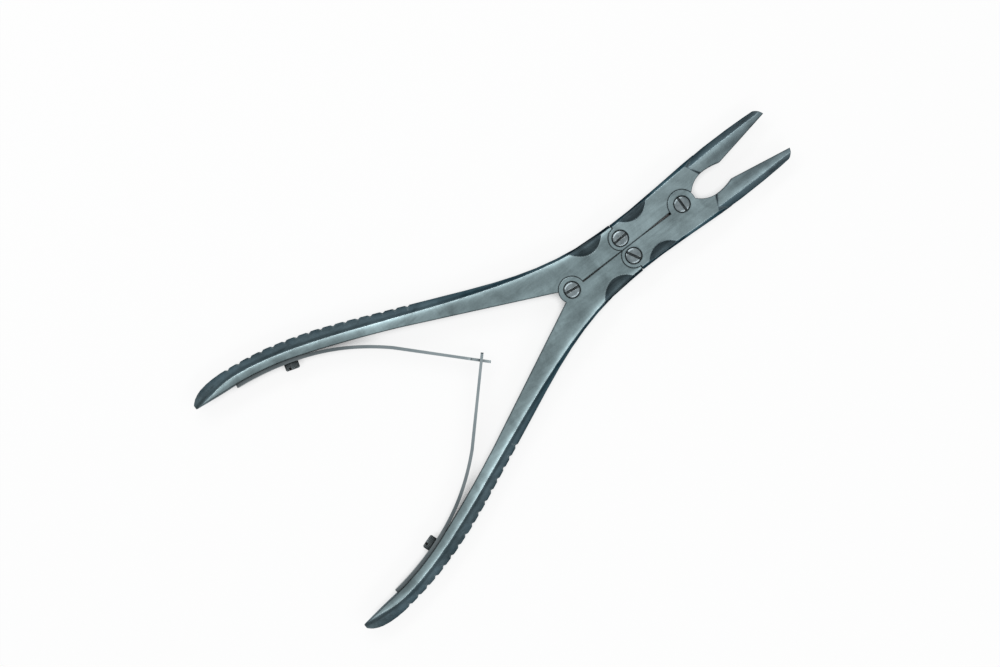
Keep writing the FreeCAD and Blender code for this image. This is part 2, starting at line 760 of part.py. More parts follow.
def leaf(name, side, hooked):
    """A hooked leaf ends in a tongue, its partner in a window that holds the tongue."""
    spots, cross, heading = leaf_line(side)
    window = cell("window_length")
    spots.append((cross - heading * window.value, heading))
    if not hooked:
        spots.append((cross + heading * sheet.leaf_eye_length, heading))
    taper = len(LEAF_STATIONS) + BLADE_STEPS - 1
    sections = []
    for index, (spot, along) in enumerate(spots):
        share = max(0.0, min(1.0, (index - SEAT_STEPS) / taper))
        thick = cell("leaf_thickness") * (1 - share) + cell("leaf_tip_thickness") * share
        width = cell("leaf_width") * (1 - share) + cell("leaf_tip_width") * share
        sketch = doc.addObject("Sketcher::SketchObject", f"{name}_section_{index + 1}")
        draw(sketch, [(-thick / 2, -width / 2), (thick / 2, -width / 2),
                      (thick / 2, width / 2), (-thick / 2, width / 2)])
        sketch.Placement = FreeCAD.Placement(spot, frame(Vector(0, 0, 1).cross(along), along))
        sections.append(sketch)
    blade = loft(name + "_blade", sections)
    lie = frame(heading, Vector(0, 0, 1))
    seat, out = inner_face(sheet.leaf_screw_x, side)
    hole = cylinder(name + "_hole", cell("leaf_screw_shank_radius") + cell("leaf_hole_clearance"),
                    4 * cell("leaf_thickness"))
    hole.Placement = FreeCAD.Placement(seat - out * sheet.leaf_thickness,
                                       FreeCAD.Rotation(Vector(0, 0, 1), out))
    if hooked:
        tongue = box(name + "_tongue", 1.5 * window + cell("tongue_length"),
                     cell("leaf_tip_thickness"), cell("tongue_width"))
        corner = Vector(-1.5 * sheet.window_length, -sheet.leaf_tip_thickness / 2, -sheet.tongue_width / 2)
        tongue.Placement = FreeCAD.Placement(cross + lie.multVec(corner), lie)
        finished = pair("Part::Cut", name, join(name + "_body", [blade, tongue]), hole)
    else:
        tall = cell("tongue_width") + 2 * cell("window_clearance")
        opening = box(name + "_window", window, 4 * cell("leaf_tip_thickness"), tall)
        corner = Vector(-window.value / 2, -2 * sheet.leaf_tip_thickness, -tall.value / 2)
        opening.Placement = FreeCAD.Placement(cross + lie.multVec(corner), lie)
        finished = pair("Part::Cut", name, blade, join(name + "_cuts", [opening, hole]))
    finished.Label = name
    return finished


leaves = [leaf("leaf_spring_upper", 1, True), leaf("leaf_spring_lower", -1, False)]

doc.recompute()
nodes = handles + jaws + screws + leaves
for item in doc.Objects:
    if "Invalid" in item.State or "Error" in item.State:
        raise RuntimeError(f"{item.Name} failed: {item.State}")
for node in nodes:
    if node.Shape.isNull() or not node.Shape.isValid():
        raise RuntimeError(f"{node.Label} has no valid shape")
    print(node.Label, len(node.Shape.Solids), round(node.Shape.Volume, 1), node.Shape.BoundBox)

os.makedirs("parts", exist_ok=True)
for node in nodes:
    node.Shape.exportStep(f"parts/{node.Label}.step")
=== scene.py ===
import math

import bmesh
import bpy
from mathutils import Matrix, Vector


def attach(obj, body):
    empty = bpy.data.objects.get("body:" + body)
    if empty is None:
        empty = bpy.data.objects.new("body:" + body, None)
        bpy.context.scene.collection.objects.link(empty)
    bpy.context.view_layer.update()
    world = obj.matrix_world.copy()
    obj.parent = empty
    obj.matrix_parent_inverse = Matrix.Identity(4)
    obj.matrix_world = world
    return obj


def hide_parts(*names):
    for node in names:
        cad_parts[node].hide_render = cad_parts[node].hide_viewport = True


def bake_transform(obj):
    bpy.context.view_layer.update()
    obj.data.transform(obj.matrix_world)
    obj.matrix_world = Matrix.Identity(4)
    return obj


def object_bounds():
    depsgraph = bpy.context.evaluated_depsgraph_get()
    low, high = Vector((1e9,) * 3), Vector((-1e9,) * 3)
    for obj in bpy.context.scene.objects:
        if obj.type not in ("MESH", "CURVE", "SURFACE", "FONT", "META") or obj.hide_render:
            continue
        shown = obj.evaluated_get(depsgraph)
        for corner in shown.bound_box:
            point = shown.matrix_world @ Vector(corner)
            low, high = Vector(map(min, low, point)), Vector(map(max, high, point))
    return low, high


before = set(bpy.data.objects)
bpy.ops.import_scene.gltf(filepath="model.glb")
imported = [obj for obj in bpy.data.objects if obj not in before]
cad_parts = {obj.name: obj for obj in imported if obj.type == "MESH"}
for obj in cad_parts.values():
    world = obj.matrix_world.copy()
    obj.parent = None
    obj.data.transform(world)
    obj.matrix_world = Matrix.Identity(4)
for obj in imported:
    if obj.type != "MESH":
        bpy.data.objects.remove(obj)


def corners(bounds):
    return [list(corner) for corner in bounds]


cad_box = corners(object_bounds())


# Handles: two levers drop forged from stainless tool steel, ground flat on both faces, sloped
# along the outer edge and ribbed there for the fingers. Glass beads give them their even satin
# grey. Their edges are brighter, partly from wear by hands and partly a painted highlight.

MM = 0.001
WELD = 0.001 * MM
SHARP_ANGLE = math.radians(24)


def linear(colour):
    """An sRGB hex colour as the linear values that shaders work in."""
    parts = [int(colour[place:place + 2], 16) / 255 for place in (1, 3, 5)]
    return [part / 12.92 if part <= 0.04045 else ((part + 0.055) / 1.055) ** 2.4
            for part in parts] + [1]


def add(tree, kind, inputs=None, **settings):
    """Adds a node with its settings, and sets or links its inputs."""
    node = tree.nodes.new(kind)
    for name, value in settings.items():
        setattr(node, name, value)
    for name, value in (inputs or {}).items():
        if isinstance(value, bpy.types.NodeSocket):
            tree.links.new(value, node.inputs[name])
        else:
            node.inputs[name].default_value = value
    return node


def new_tree(name, sizes):
    """An empty Geometry Nodes tree with a named input for each size."""
    tree = bpy.data.node_groups.new(name, "GeometryNodeTree")
    tree.is_modifier = True
    for way in ("INPUT", "OUTPUT"):
        tree.interface.new_socket("Geometry", in_out=way, socket_type="NodeSocketGeometry")
    for title, value in sizes.items():
        socket = tree.interface.new_socket(title, in_out="INPUT", socket_type="NodeSocketFloat")
        socket.default_value = value
    return tree


def use_tree(piece, tree, sizes):
    """Puts the tree on a piece and sets its sizes by the identifiers of their sockets."""
    modifier = piece.modifiers.new(tree.name, "NODES")
    modifier.node_group = tree
    for item in tree.interface.items_tree:
        if item.in_out == "INPUT" and item.name in sizes:
            modifier[item.identifier] = sizes[item.name]


def round_shading(tree, geometry, sharp_angle):
    """Shades a mesh smooth, except over edges sharper than the angle."""
    bend = add(tree, "GeometryNodeInputMeshEdgeAngle")
    gentle = add(tree, "ShaderNodeMath", {0: bend.outputs["Unsigned Angle"], 1: sharp_angle},
                 operation="LESS_THAN")
    rounded = add(tree, "GeometryNodeSetShadeSmooth", {"Geometry": geometry}, domain="FACE")
    return add(tree, "GeometryNodeSetShadeSmooth", {
        "Geometry": rounded.outputs[0], "Shade Smooth": gentle.outputs[0]}, domain="EDGE")


# Welds the solid's loose triangles and rounds its shading
forged_skin = new_tree("forged_skin", {"Weld": WELD, "Sharp Angle": SHARP_ANGLE})
bare = add(forged_skin, "NodeGroupInput").outputs
welded = add(forged_skin, "GeometryNodeMergeByDistance", {
    "Geometry": bare["Geometry"], "Distance": bare["Weld"]})
skinned = round_shading(forged_skin, welded.outputs[0], bare["Sharp Angle"])
add(forged_skin, "NodeGroupOutput", {"Geometry": skinned.outputs[0]})


def dress(name, material):
    """Gives one of the solids its welded, smooth-shaded mesh and its steel."""
    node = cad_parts[name]
    node.data.materials.clear()
    node.data.materials.append(material)
    use_tree(node, forged_skin, {})


def new_material(name):
    material = bpy.data.materials.new(name)
    material.use_nodes = True
    material.node_tree.nodes.clear()
    return material


def flatness(tree, eased):
    """1 on flat steel, and less where the eased normal turns away from the real one."""
    surface = add(tree, "ShaderNodeNewGeometry")
    match = add(tree, "ShaderNodeVectorMath", {
        0: surface.outputs["Normal"], 1: eased.outputs["Normal"]}, operation="DOT_PRODUCT")
    return match.outputs["Value"]


def curve_through(node, places):
    """Bends a Float Curve through points given from 0 to 1."""
    line = node.mapping.curves[0]
    line.points[0].location, line.points[1].location = places[0], places[-1]
    for place in places[1:-1]:
        line.points.new(*place)
    node.mapping.update()


CURVE_TOP = 2.0


def share_along(tree, place, marks, weight):
    """The share of light on a curve through the marks where the weight is 1, and 1 where it is 0.

    A Float Curve ends at 1, so it holds the shares as parts of the highest one."""
    first, last = marks[0][0], marks[-1][0]
    curve = add(tree, "ShaderNodeFloatCurve", {"Value": place})
    curve_through(curve, [
        ((mark - first) / (last - first), share / CURVE_TOP) for mark, share in marks])
    change = add(tree, "ShaderNodeMath", {0: curve.outputs[0], 1: CURVE_TOP, 2: -1.0},
                 operation="MULTIPLY_ADD")
    return add(tree, "ShaderNodeMath", {0: change.outputs[0], 1: weight, 2: 1.0},
               operation="MULTIPLY_ADD")


# How the forge, the wheel and the beads leave the steel, with the painted shade and highlights
# laid over it: shares of light, and pairs of limits between which they come in. The tilts are the
# upright part of a surface's normal.
GRAZING = linear("#7a8488")
EDGE_BREAK = 0.55 * MM
EDGE_HIGHLIGHT_AND_WEAR = [(0.80, 0.0), (0.915, 0.36), (0.985, 0.2), (1.0, 0.0)]
CLOUD_SIZE, CLOUD_SHARE, CLOUD_BASE = 8 * MM, 1.3, 0.04
GRAIN_SHARE, STROKE_SHARE = 0.36, 0.30
GRIT_DEPTH = 0.03
GLOSS_SPREAD, STROKE_SPREAD = 0.07, (0.3, 0.7)
LEVEL_TILT, FACE_TILT, HOLLOW_TILT = (0.985, 0.996), (0.65, 0.95), (0.97, 0.90)
HOLLOWS_BEGIN, HOLLOWS_END, HOLLOW_SHADE = (5 * MM, 7 * MM), (44 * MM, 42 * MM), 0.48
CREVICE, CREVICE_OPENS = 0.7 * MM, (0.36, 0.82)
JOINT_END, JOINT_SHADE, END_SHADE = (51 * MM, 54 * MM), 0.04, 0.6


def satin_steel(name, shades_by_tilt, highlight_and_wear, roughness, lay, grit, ridge, section, level_faces, shine,
                inner):
    """Bead-blasted stainless, or stainless from the grinding wheel.

    The shades by tilt are painted shade, from surfaces that stand upright to flat ones, and the
    highlight and wear tone is that of edges: partly wear, partly a painted highlight. The lay is
    how fine the wheel's strokes are along each axis, and the grit the size of the grain. The ridge
    is the line in millimetres where the sloping edge meets the face, and the section the painted
    highlight and shade at each distance in from it. Level faces take the section's share given
    there. The shine is painted light and shade: the share of light that the faces give back at
    each place along the tool. The inner share is painted shade, what is left of the light where
    an edge turns towards the gap between the handles."""
    material = new_material(name)
    tree = material.node_tree
    spot = add(tree, "ShaderNodeTexCoord").outputs["Object"]
    spot_parts = add(tree, "ShaderNodeSeparateXYZ", {"Vector": spot})
    eased = add(tree, "ShaderNodeBevel", {"Radius": EDGE_BREAK}, samples=6)
    facing = add(tree, "ShaderNodeSeparateXYZ", {"Vector": eased.outputs["Normal"]})
    tilt = add(tree, "ShaderNodeMath", {0: facing.outputs["Z"]}, operation="ABSOLUTE")
    # Painted shade: the colour follows how far the surface tilts from flat, darkest on steep
    # slopes
    tone = add(tree, "ShaderNodeValToRGB", {"Fac": tilt.outputs[0]})
    stops = tone.color_ramp.elements
    while len(stops) < len(shades_by_tilt):
        stops.new(0.5)
    for stop, (place, colour) in zip(stops, shades_by_tilt):
        stop.position = place
        stop.color = linear(colour)

    # An edge that turns is brighter: partly wear from hands and trays, partly a painted highlight
    edge = add(tree, "ShaderNodeFloatCurve", {"Value": flatness(tree, eased)})
    curve_through(edge, EDGE_HIGHLIGHT_AND_WEAR)
    bright = add(tree, "ShaderNodeMix", {
        "Factor": edge.outputs[0], 6: tone.outputs[0], 7: linear(highlight_and_wear)}, data_type="RGBA")

    # Blasting leaves wide clouds, the beads a grit drawn coarser than it is, the wheel strokes
    clouds = add(tree, "ShaderNodeTexNoise", {
        "Vector": spot, "Scale": 1 / CLOUD_SIZE, "Detail": 4.0, "Roughness": 0.6,
        "Distortion": 0.6})
    grain = add(tree, "ShaderNodeTexNoise", {
        "Vector": spot, "Scale": 1 / grit, "Detail": 2.0, "Roughness": 0.6})
    stretch = add(tree, "ShaderNodeMapping", {"Vector": spot, "Scale": lay})
    strokes = add(tree, "ShaderNodeTexNoise", {
        "Vector": stretch.outputs[0], "Scale": 1.0, "Detail": 3.0})
    light = add(tree, "ShaderNodeMath", {0: clouds.outputs[0], 1: CLOUD_SHARE, 2: CLOUD_BASE},
                operation="MULTIPLY_ADD")
    for pattern, share in ((grain, GRAIN_SHARE), (strokes, STROKE_SHARE)):
        light = add(tree, "ShaderNodeMath", {
            0: pattern.outputs[0], 1: share, 2: light.outputs[0]}, operation="MULTIPLY_ADD")

    # A painted highlight runs along the ridge, with painted shade across the face on either side
    (near_x, far_x), (low_y, high_y) = ((min(part), max(part)) for part in zip(*ridge))
    along = add(tree, "ShaderNodeMapRange", {
        "Value": spot_parts.outputs["X"], "From Min": near_x * MM, "From Max": far_x * MM})
    ridge_line = add(tree, "ShaderNodeFloatCurve", {"Value": along.outputs[0]})
    curve_through(ridge_line, [
        ((x - near_x) / (far_x - near_x), (y - low_y) / (high_y - low_y)) for x, y in ridge])
    ridge_height = add(tree, "ShaderNodeMapRange", {
        "Value": ridge_line.outputs[0], "To Min": low_y * MM, "To Max": high_y * MM})
    across = add(tree, "ShaderNodeMath", {0: spot_parts.outputs["Y"]}, operation="ABSOLUTE")
    inward = add(tree, "ShaderNodeMath", {0: ridge_height.outputs[0], 1: across.outputs[0]},
                 operation="SUBTRACT")
    in_section = add(tree, "ShaderNodeMapRange", {
        "Value": inward.outputs[0],
        "From Min": section[0][0] * MM, "From Max": section[-1][0] * MM})
    off_level = add(tree, "ShaderNodeMapRange", {
        "Value": tilt.outputs[0], "From Min": LEVEL_TILT[0], "From Max": LEVEL_TILT[1],
        "To Min": 1.0, "To Max": level_faces})
    ridge_light = share_along(tree, in_section.outputs[0], section, off_level.outputs[0])
    # Painted light and shade along the faces: brighter near the middle of the handles, darker
    # towards their ends and the jaws' tips
    on_face = add(tree, "ShaderNodeMapRange", {
        "Value": tilt.outputs[0], "From Min": FACE_TILT[0], "From Max": FACE_TILT[1]})
    light_along_tool = share_along(tree, along.outputs[0], shine, on_face.outputs[0])

    # The hollows in the block's edges are painted darker, as shade
    hollow_shade = add(tree, "ShaderNodeMapRange", {
        "Value": tilt.outputs[0], "From Min": HOLLOW_TILT[0], "From Max": HOLLOW_TILT[1],
        "To Max": HOLLOW_SHADE})
    for start, stop in (HOLLOWS_BEGIN, HOLLOWS_END):
        inside = add(tree, "ShaderNodeMapRange", {
            "Value": spot_parts.outputs["X"], "From Min": start, "From Max": stop})
        hollow_shade = add(tree, "ShaderNodeMath", {0: hollow_shade.outputs[0], 1: inside.outputs[0]},
                   operation="MULTIPLY")
    hollow_light = add(tree, "ShaderNodeMath", {0: 1.0, 1: hollow_shade.outputs[0]}, operation="SUBTRACT")

    # Edges that face the gap between the handles are painted darker, as shade
    half_of = add(tree, "ShaderNodeMath", {0: spot_parts.outputs["Y"]}, operation="SIGN")
    outward = add(tree, "ShaderNodeMath", {0: half_of.outputs[0], 1: facing.outputs["Y"]},
                  operation="MULTIPLY")
    to_middle = add(tree, "ShaderNodeMath", {0: outward.outputs[0], 1: -1.0},
                    operation="MULTIPLY", use_clamp=True)
    inner_shade = add(tree, "ShaderNodeFloatCurve", {"Value": to_middle.outputs[0]})
    curve_through(inner_shade, inner)

    # Painted shade darkens the gaps and corners, most of all round the joint
    corner = add(tree, "ShaderNodeAmbientOcclusion", {"Distance": CREVICE}, samples=6)
    darkest = add(tree, "ShaderNodeMapRange", {
        "Value": spot_parts.outputs["X"], "From Min": JOINT_END[0], "From Max": JOINT_END[1],
        "To Min": JOINT_SHADE, "To Max": END_SHADE})
    shade = add(tree, "ShaderNodeMapRange", {
        "Value": corner.outputs["AO"], "From Min": CREVICE_OPENS[0],
        "From Max": CREVICE_OPENS[1], "To Min": darkest.outputs[0], "To Max": 1.0})

    for share in (ridge_light, light_along_tool, hollow_light, inner_shade, shade):
        light = add(tree, "ShaderNodeMath", {0: light.outputs[0], 1: share.outputs[0]},
                    operation="MULTIPLY")
    colour = add(tree, "ShaderNodeVectorMath", {0: bright.outputs[2], "Scale": light.outputs[0]},
                 operation="SCALE")
    gloss = add(tree, "ShaderNodeMapRange", {
        "Value": strokes.outputs[0], "From Min": STROKE_SPREAD[0], "From Max": STROKE_SPREAD[1],
        "To Min": roughness - GLOSS_SPREAD, "To Max": roughness + GLOSS_SPREAD})
    bumps = add(tree, "ShaderNodeBump", {
        "Height": grain.outputs[0], "Distance": grit * GRIT_DEPTH, "Strength": 0.6,
        "Normal": eased.outputs["Normal"]})
    shader = add(tree, "ShaderNodeBsdfPrincipled", {
        "Base Color": colour.outputs[0], "Metallic": 1.0, "Roughness": gloss.outputs[0],
        "Specular Tint": GRAZING, "Normal": bumps.outputs[0]})
    add(tree, "ShaderNodeOutputMaterial", {"Surface": shader.outputs[0]})
    return material


blasted_steel = satin_steel(
    "bead_blasted_stainless",
    shades_by_tilt=[(0.10, "#76868d"), (0.52, "#42535a"), (0.70, "#566870"), (0.90, "#6f8288"),
           (0.99, "#899ca0")],
    highlight_and_wear="#b3c1c4", roughness=0.36, lay=(80.0, 900.0, 900.0), grit=0.6 * MM,
    ridge=[(-130, 47.6), (-124.8, 48.4), (-119, 48.8), (-112, 48.9), (-98, 46.2), (-80, 40.3),
           (-60, 32.4), (-38, 23.6), (-20, 17.1), (-5, 12.7), (10, 9.8), (33, 8.8)],
    section=[(-5.0, 0.78), (-3.4, 0.84), (-1.8, 1.15), (-0.7, 0.76), (-0.1, 1.15), (0.3, 1.80),
             (0.9, 1.34), (1.7, 0.98), (2.8, 0.80), (4.6, 0.80), (7.0, 0.97)],
    level_faces=1.0,
    shine=[(-130, 0.55), (-118, 0.72), (-105, 0.84), (-88, 0.90), (-76, 1.0), (-62, 1.26),
           (-50, 1.16), (-36, 1.0), (0, 0.98), (33, 0.98)],
    inner=[(0.0, 1.0), (0.05, 0.92), (0.20, 0.28), (0.60, 0.25), (0.85, 0.80), (1.0, 0.95)])
for handle in ("handle_upper", "handle_lower"):
    dress(handle, blasted_steel)


# Jaws: forged from the same steel, ground flat at the joint, and drawn out past it to a crest
# that falls away to both sides. The biting ends are hollowed to cups with a thin cutting rim.
# The finer wheel leaves them a little smoother and darker than the handles.

ground_steel = satin_steel(
    "fine_ground_stainless",
    shades_by_tilt=[(0.10, "#6f8087"), (0.48, "#43535a"), (0.70, "#526269"), (0.965, "#66777e"),
           (0.995, "#899b9f")],
    highlight_and_wear="#93a3a7", roughness=0.34, lay=(70.0, 1100.0, 1100.0), grit=0.5 * MM,
    ridge=[(20, 8.8), (33, 8.8), (46, 9.4), (55, 9.2), (60, 8.8), (67, 8.9), (77, 8.9),
           (84.5, 8.8), (92, 8.9)],
    section=[(-2.6, 0.62), (-1.5, 0.85), (-0.5, 1.30), (0.2, 1.75), (0.9, 1.50), (1.8, 1.05),
             (3.2, 0.78), (4.6, 0.95), (7.0, 1.0)],
    level_faces=0.0,
    shine=[(20, 0.98), (50, 0.98), (60, 0.94), (70, 1.04), (80, 1.02), (87, 0.82), (92, 0.70)],
    inner=[(0.0, 1.0), (0.10, 0.95), (0.32, 0.34), (0.60, 0.36), (0.85, 0.85), (1.0, 0.95)])
for jaw in ("jaw_upper", "jaw_lower"):
    dress(jaw, ground_steel)


# Screws: turned from harder stainless bar, each with a milled slot. Four are the bearings of
# the joints, with a low dome, a plain shank and a thread in the lower arm. Two clamp the springs.

SCREW_SIZES = {
    "Head Radius": 2.8 * MM, "Head Height": 1.45 * MM, "Crown": 0.45 * MM,
    "Chamfer": 0.12 * MM, "Slot Width": 0.9 * MM, "Slot Depth": 0.95 * MM,
    "Shank Radius": 1.9 * MM, "Shank Length": 2.98 * MM, "Thread Radius": 1.5 * MM,
    "Thread Length": 4.22 * MM, "Thread Pitch": 0.5 * MM, "Knurl Depth": 0.0}
HEAD_RINGS, HEAD_SIDES = 8, 56
SHANK_SIDES, CORE_SIDES = 48, 32
TURN_STEPS, THREAD_SIDES, THREAD_FULLNESS = 24, 4, 0.96
turned_screw = new_tree("turned_screw", SCREW_SIZES)
given = add(turned_screw, "NodeGroupInput").outputs

# The head is a cylinder of rings on the seat, and its top rises to the crown and drops at the rim
head = add(turned_screw, "GeometryNodeMeshCylinder", {
    "Vertices": HEAD_SIDES, "Side Segments": 1, "Fill Segments": HEAD_RINGS,
    "Radius": given["Head Radius"], "Depth": given["Head Height"]})
half_head = add(turned_screw, "ShaderNodeMath", {0: given["Head Height"], 1: 0.5},
                operation="MULTIPLY")
raised = add(turned_screw, "ShaderNodeCombineXYZ", {"Z": half_head.outputs[0]})
standing = add(turned_screw, "GeometryNodeTransform", {
    "Geometry": head.outputs["Mesh"], "Translation": raised.outputs[0]})
point = add(turned_screw, "GeometryNodeInputPosition")
parts = add(turned_screw, "ShaderNodeSeparateXYZ", {"Vector": point.outputs[0]})
flat_point = add(turned_screw, "ShaderNodeCombineXYZ", {
    "X": parts.outputs["X"], "Y": parts.outputs["Y"]})
radius = add(turned_screw, "ShaderNodeVectorMath", {0: flat_point.outputs[0]},
             operation="LENGTH")
share = add(turned_screw, "ShaderNodeMath", {
    0: radius.outputs["Value"], 1: given["Head Radius"]}, operation="DIVIDE")
dip = add(turned_screw, "ShaderNodeMath", {0: share.outputs[0], 1: 2.0}, operation="POWER")
dome = add(turned_screw, "ShaderNodeMath", {0: 1.0, 1: dip.outputs[0]}, operation="SUBTRACT")
rise = add(turned_screw, "ShaderNodeMath", {0: dome.outputs[0], 1: given["Crown"]},
           operation="MULTIPLY")
at_rim = add(turned_screw, "ShaderNodeMath", {0: share.outputs[0], 1: 1 - 0.5 / HEAD_RINGS},
             operation="GREATER_THAN")
drop = add(turned_screw, "ShaderNodeMath", {0: at_rim.outputs[0], 1: given["Chamfer"]},
           operation="MULTIPLY")
lift = add(turned_screw, "ShaderNodeMath", {0: rise.outputs[0], 1: drop.outputs[0]},
           operation="SUBTRACT")
on_top = add(turned_screw, "ShaderNodeMath", {0: parts.outputs["Z"], 1: half_head.outputs[0]},
             operation="GREATER_THAN")
shift = add(turned_screw, "ShaderNodeCombineXYZ", {"Z": lift.outputs[0]})
domed = add(turned_screw, "GeometryNodeSetPosition", {
    "Geometry": standing.outputs[0], "Selection": on_top.outputs[0], "Offset": shift.outputs[0]})

# The knurl presses in every other corner of the rim
bearing = add(turned_screw, "ShaderNodeMath", {0: parts.outputs["Y"], 1: parts.outputs["X"]},
              operation="ARCTAN2")
teeth = add(turned_screw, "ShaderNodeMath", {0: bearing.outputs[0], 1: HEAD_SIDES / 2},
            operation="MULTIPLY")
wave = add(turned_screw, "ShaderNodeMath", {0: teeth.outputs[0]}, operation="COSINE")
notch = add(turned_screw, "ShaderNodeMath", {0: wave.outputs[0], 1: 0.5, 2: -0.5},
            operation="MULTIPLY_ADD")
bite = add(turned_screw, "ShaderNodeMath", {0: notch.outputs[0], 1: given["Knurl Depth"]},
           operation="MULTIPLY")
outward = add(turned_screw, "ShaderNodeVectorMath", {0: flat_point.outputs[0]},
              operation="NORMALIZE")
pressed = add(turned_screw, "ShaderNodeVectorMath", {
    0: outward.outputs[0], "Scale": bite.outputs[0]}, operation="SCALE")
knurled = add(turned_screw, "GeometryNodeSetPosition", {
    "Geometry": domed.outputs[0], "Selection": at_rim.outputs[0], "Offset": pressed.outputs[0]})

# The slot's cutter is longer than the head is wide, and twice the depth because half is in the air
slot_length = add(turned_screw, "ShaderNodeMath", {0: given["Head Radius"], 1: 3.0},
                  operation="MULTIPLY")
slot_height = add(turned_screw, "ShaderNodeMath", {0: given["Slot Depth"], 1: 2.0},
                  operation="MULTIPLY")
slot_size = add(turned_screw, "ShaderNodeCombineXYZ", {
    "X": slot_length.outputs[0], "Y": given["Slot Width"], "Z": slot_height.outputs[0]})
slot_block = add(turned_screw, "GeometryNodeMeshCube", {"Size": slot_size.outputs[0]})
crest = add(turned_screw, "ShaderNodeMath", {0: given["Head Height"], 1: given["Crown"]},
            operation="ADD")
slot_place = add(turned_screw, "ShaderNodeCombineXYZ", {"Z": crest.outputs[0]})
slot_tool = add(turned_screw, "GeometryNodeTransform", {
    "Geometry": slot_block.outputs["Mesh"], "Translation": slot_place.outputs[0]})
slotted = add(turned_screw, "GeometryNodeMeshBoolean", {
    "Mesh 1": knurled.outputs[0], "Mesh 2": slot_tool.outputs[0]}, operation="DIFFERENCE")


def rod(sides, rod_radius, length, depth):
    """A plain round bar with its top at this depth below the head."""
    bar = add(turned_screw, "GeometryNodeMeshCylinder", {
        "Vertices": sides, "Side Segments": 1, "Fill Segments": 1,
        "Radius": rod_radius, "Depth": length})
    half_length = add(turned_screw, "ShaderNodeMath", {0: length, 1: -0.5}, operation="MULTIPLY")
    height = add(turned_screw, "ShaderNodeMath", {0: half_length.outputs[0], 1: depth},
                 operation="SUBTRACT")
    middle = add(turned_screw, "ShaderNodeCombineXYZ", {"Z": height.outputs[0]})
    return add(turned_screw, "GeometryNodeTransform", {
        "Geometry": bar.outputs["Mesh"], "Translation": middle.outputs[0]})


# The thread is a ridge of four sides wound round its core
shank = rod(SHANK_SIDES, given["Shank Radius"], given["Shank Length"], 0.0)
half_pitch = add(turned_screw, "ShaderNodeMath", {0: given["Thread Pitch"], 1: 0.5},
                 operation="MULTIPLY")
core_radius = add(turned_screw, "ShaderNodeMath", {
    0: given["Thread Radius"], 1: half_pitch.outputs[0]}, operation="SUBTRACT")
core = rod(CORE_SIDES, core_radius.outputs[0], given["Thread Length"], given["Shank Length"])
all_turns = add(turned_screw, "ShaderNodeMath", {
    0: given["Thread Length"], 1: given["Thread Pitch"]}, operation="DIVIDE")
turns = add(turned_screw, "ShaderNodeMath", {0: all_turns.outputs[0], 1: 1.0},
            operation="SUBTRACT")
helix_height = add(turned_screw, "ShaderNodeMath", {
    0: turns.outputs[0], 1: given["Thread Pitch"]}, operation="MULTIPLY")
helix = add(turned_screw, "GeometryNodeCurveSpiral", {
    "Resolution": TURN_STEPS, "Rotations": turns.outputs[0],
    "Start Radius": core_radius.outputs[0], "End Radius": core_radius.outputs[0],
    "Height": helix_height.outputs[0]})
ridge_radius = add(turned_screw, "ShaderNodeMath", {
    0: half_pitch.outputs[0], 1: THREAD_FULLNESS}, operation="MULTIPLY")
ridge = add(turned_screw, "GeometryNodeCurvePrimitiveCircle", {
    "Resolution": THREAD_SIDES, "Radius": ridge_radius.outputs[0]})
thread = add(turned_screw, "GeometryNodeCurveToMesh", {
    "Curve": helix.outputs[0], "Profile Curve": ridge.outputs[0], "Fill Caps": True})
foot = add(turned_screw, "ShaderNodeMath", {
    0: given["Shank Length"], 1: given["Thread Length"]}, operation="ADD")
thread_height = add(turned_screw, "ShaderNodeMath", {
    0: half_pitch.outputs[0], 1: foot.outputs[0]}, operation="SUBTRACT")
thread_place = add(turned_screw, "ShaderNodeCombineXYZ", {"Z": thread_height.outputs[0]})
wound = add(turned_screw, "GeometryNodeTransform", {
    "Geometry": thread.outputs["Mesh"], "Translation": thread_place.outputs[0]})
whole = add(turned_screw, "GeometryNodeJoinGeometry")
for part in (slotted.outputs["Mesh"], shank.outputs[0], core.outputs[0], wound.outputs[0]):
    turned_screw.links.new(part, whole.inputs[0])

# The steel reads how far each point is from the axis, and whether the screw is a knurled one,
# which it paints darker as shade
dark_screw_mark = add(turned_screw, "ShaderNodeMath", {0: given["Knurl Depth"], 1: 0.0},
               operation="GREATER_THAN")
marked = whole
for name, value in (("turning_radius", radius.outputs["Value"]),
                    ("shaded_screw_flag", dark_screw_mark.outputs[0])):
    marked = add(turned_screw, "GeometryNodeStoreNamedAttribute", {
        "Geometry": marked.outputs[0], "Name": name, "Value": value},
        data_type="FLOAT", domain="POINT")
smooth = round_shading(turned_screw, marked.outputs[0], SHARP_ANGLE)
real = add(turned_screw, "GeometryNodeRealizeInstances", {"Geometry": smooth.outputs[0]})

SCREW_EDGE, SCREW_EDGE_TURN, SCREW_EDGE_HIGHLIGHT_AND_WEAR = 0.16 * MM, (0.995, 0.9), 0.85
RING_PITCH, RING_DEPTH = 0.2 * MM, 0.003 * MM
STAIN_SIZE = 1.6 * MM
SCREW_SHADE_SHARE = 0.42
SEAT_GAP, SEAT_OPENS, SEAT_SHADE = 1.4 * MM, (0.45, 0.9), 0.05


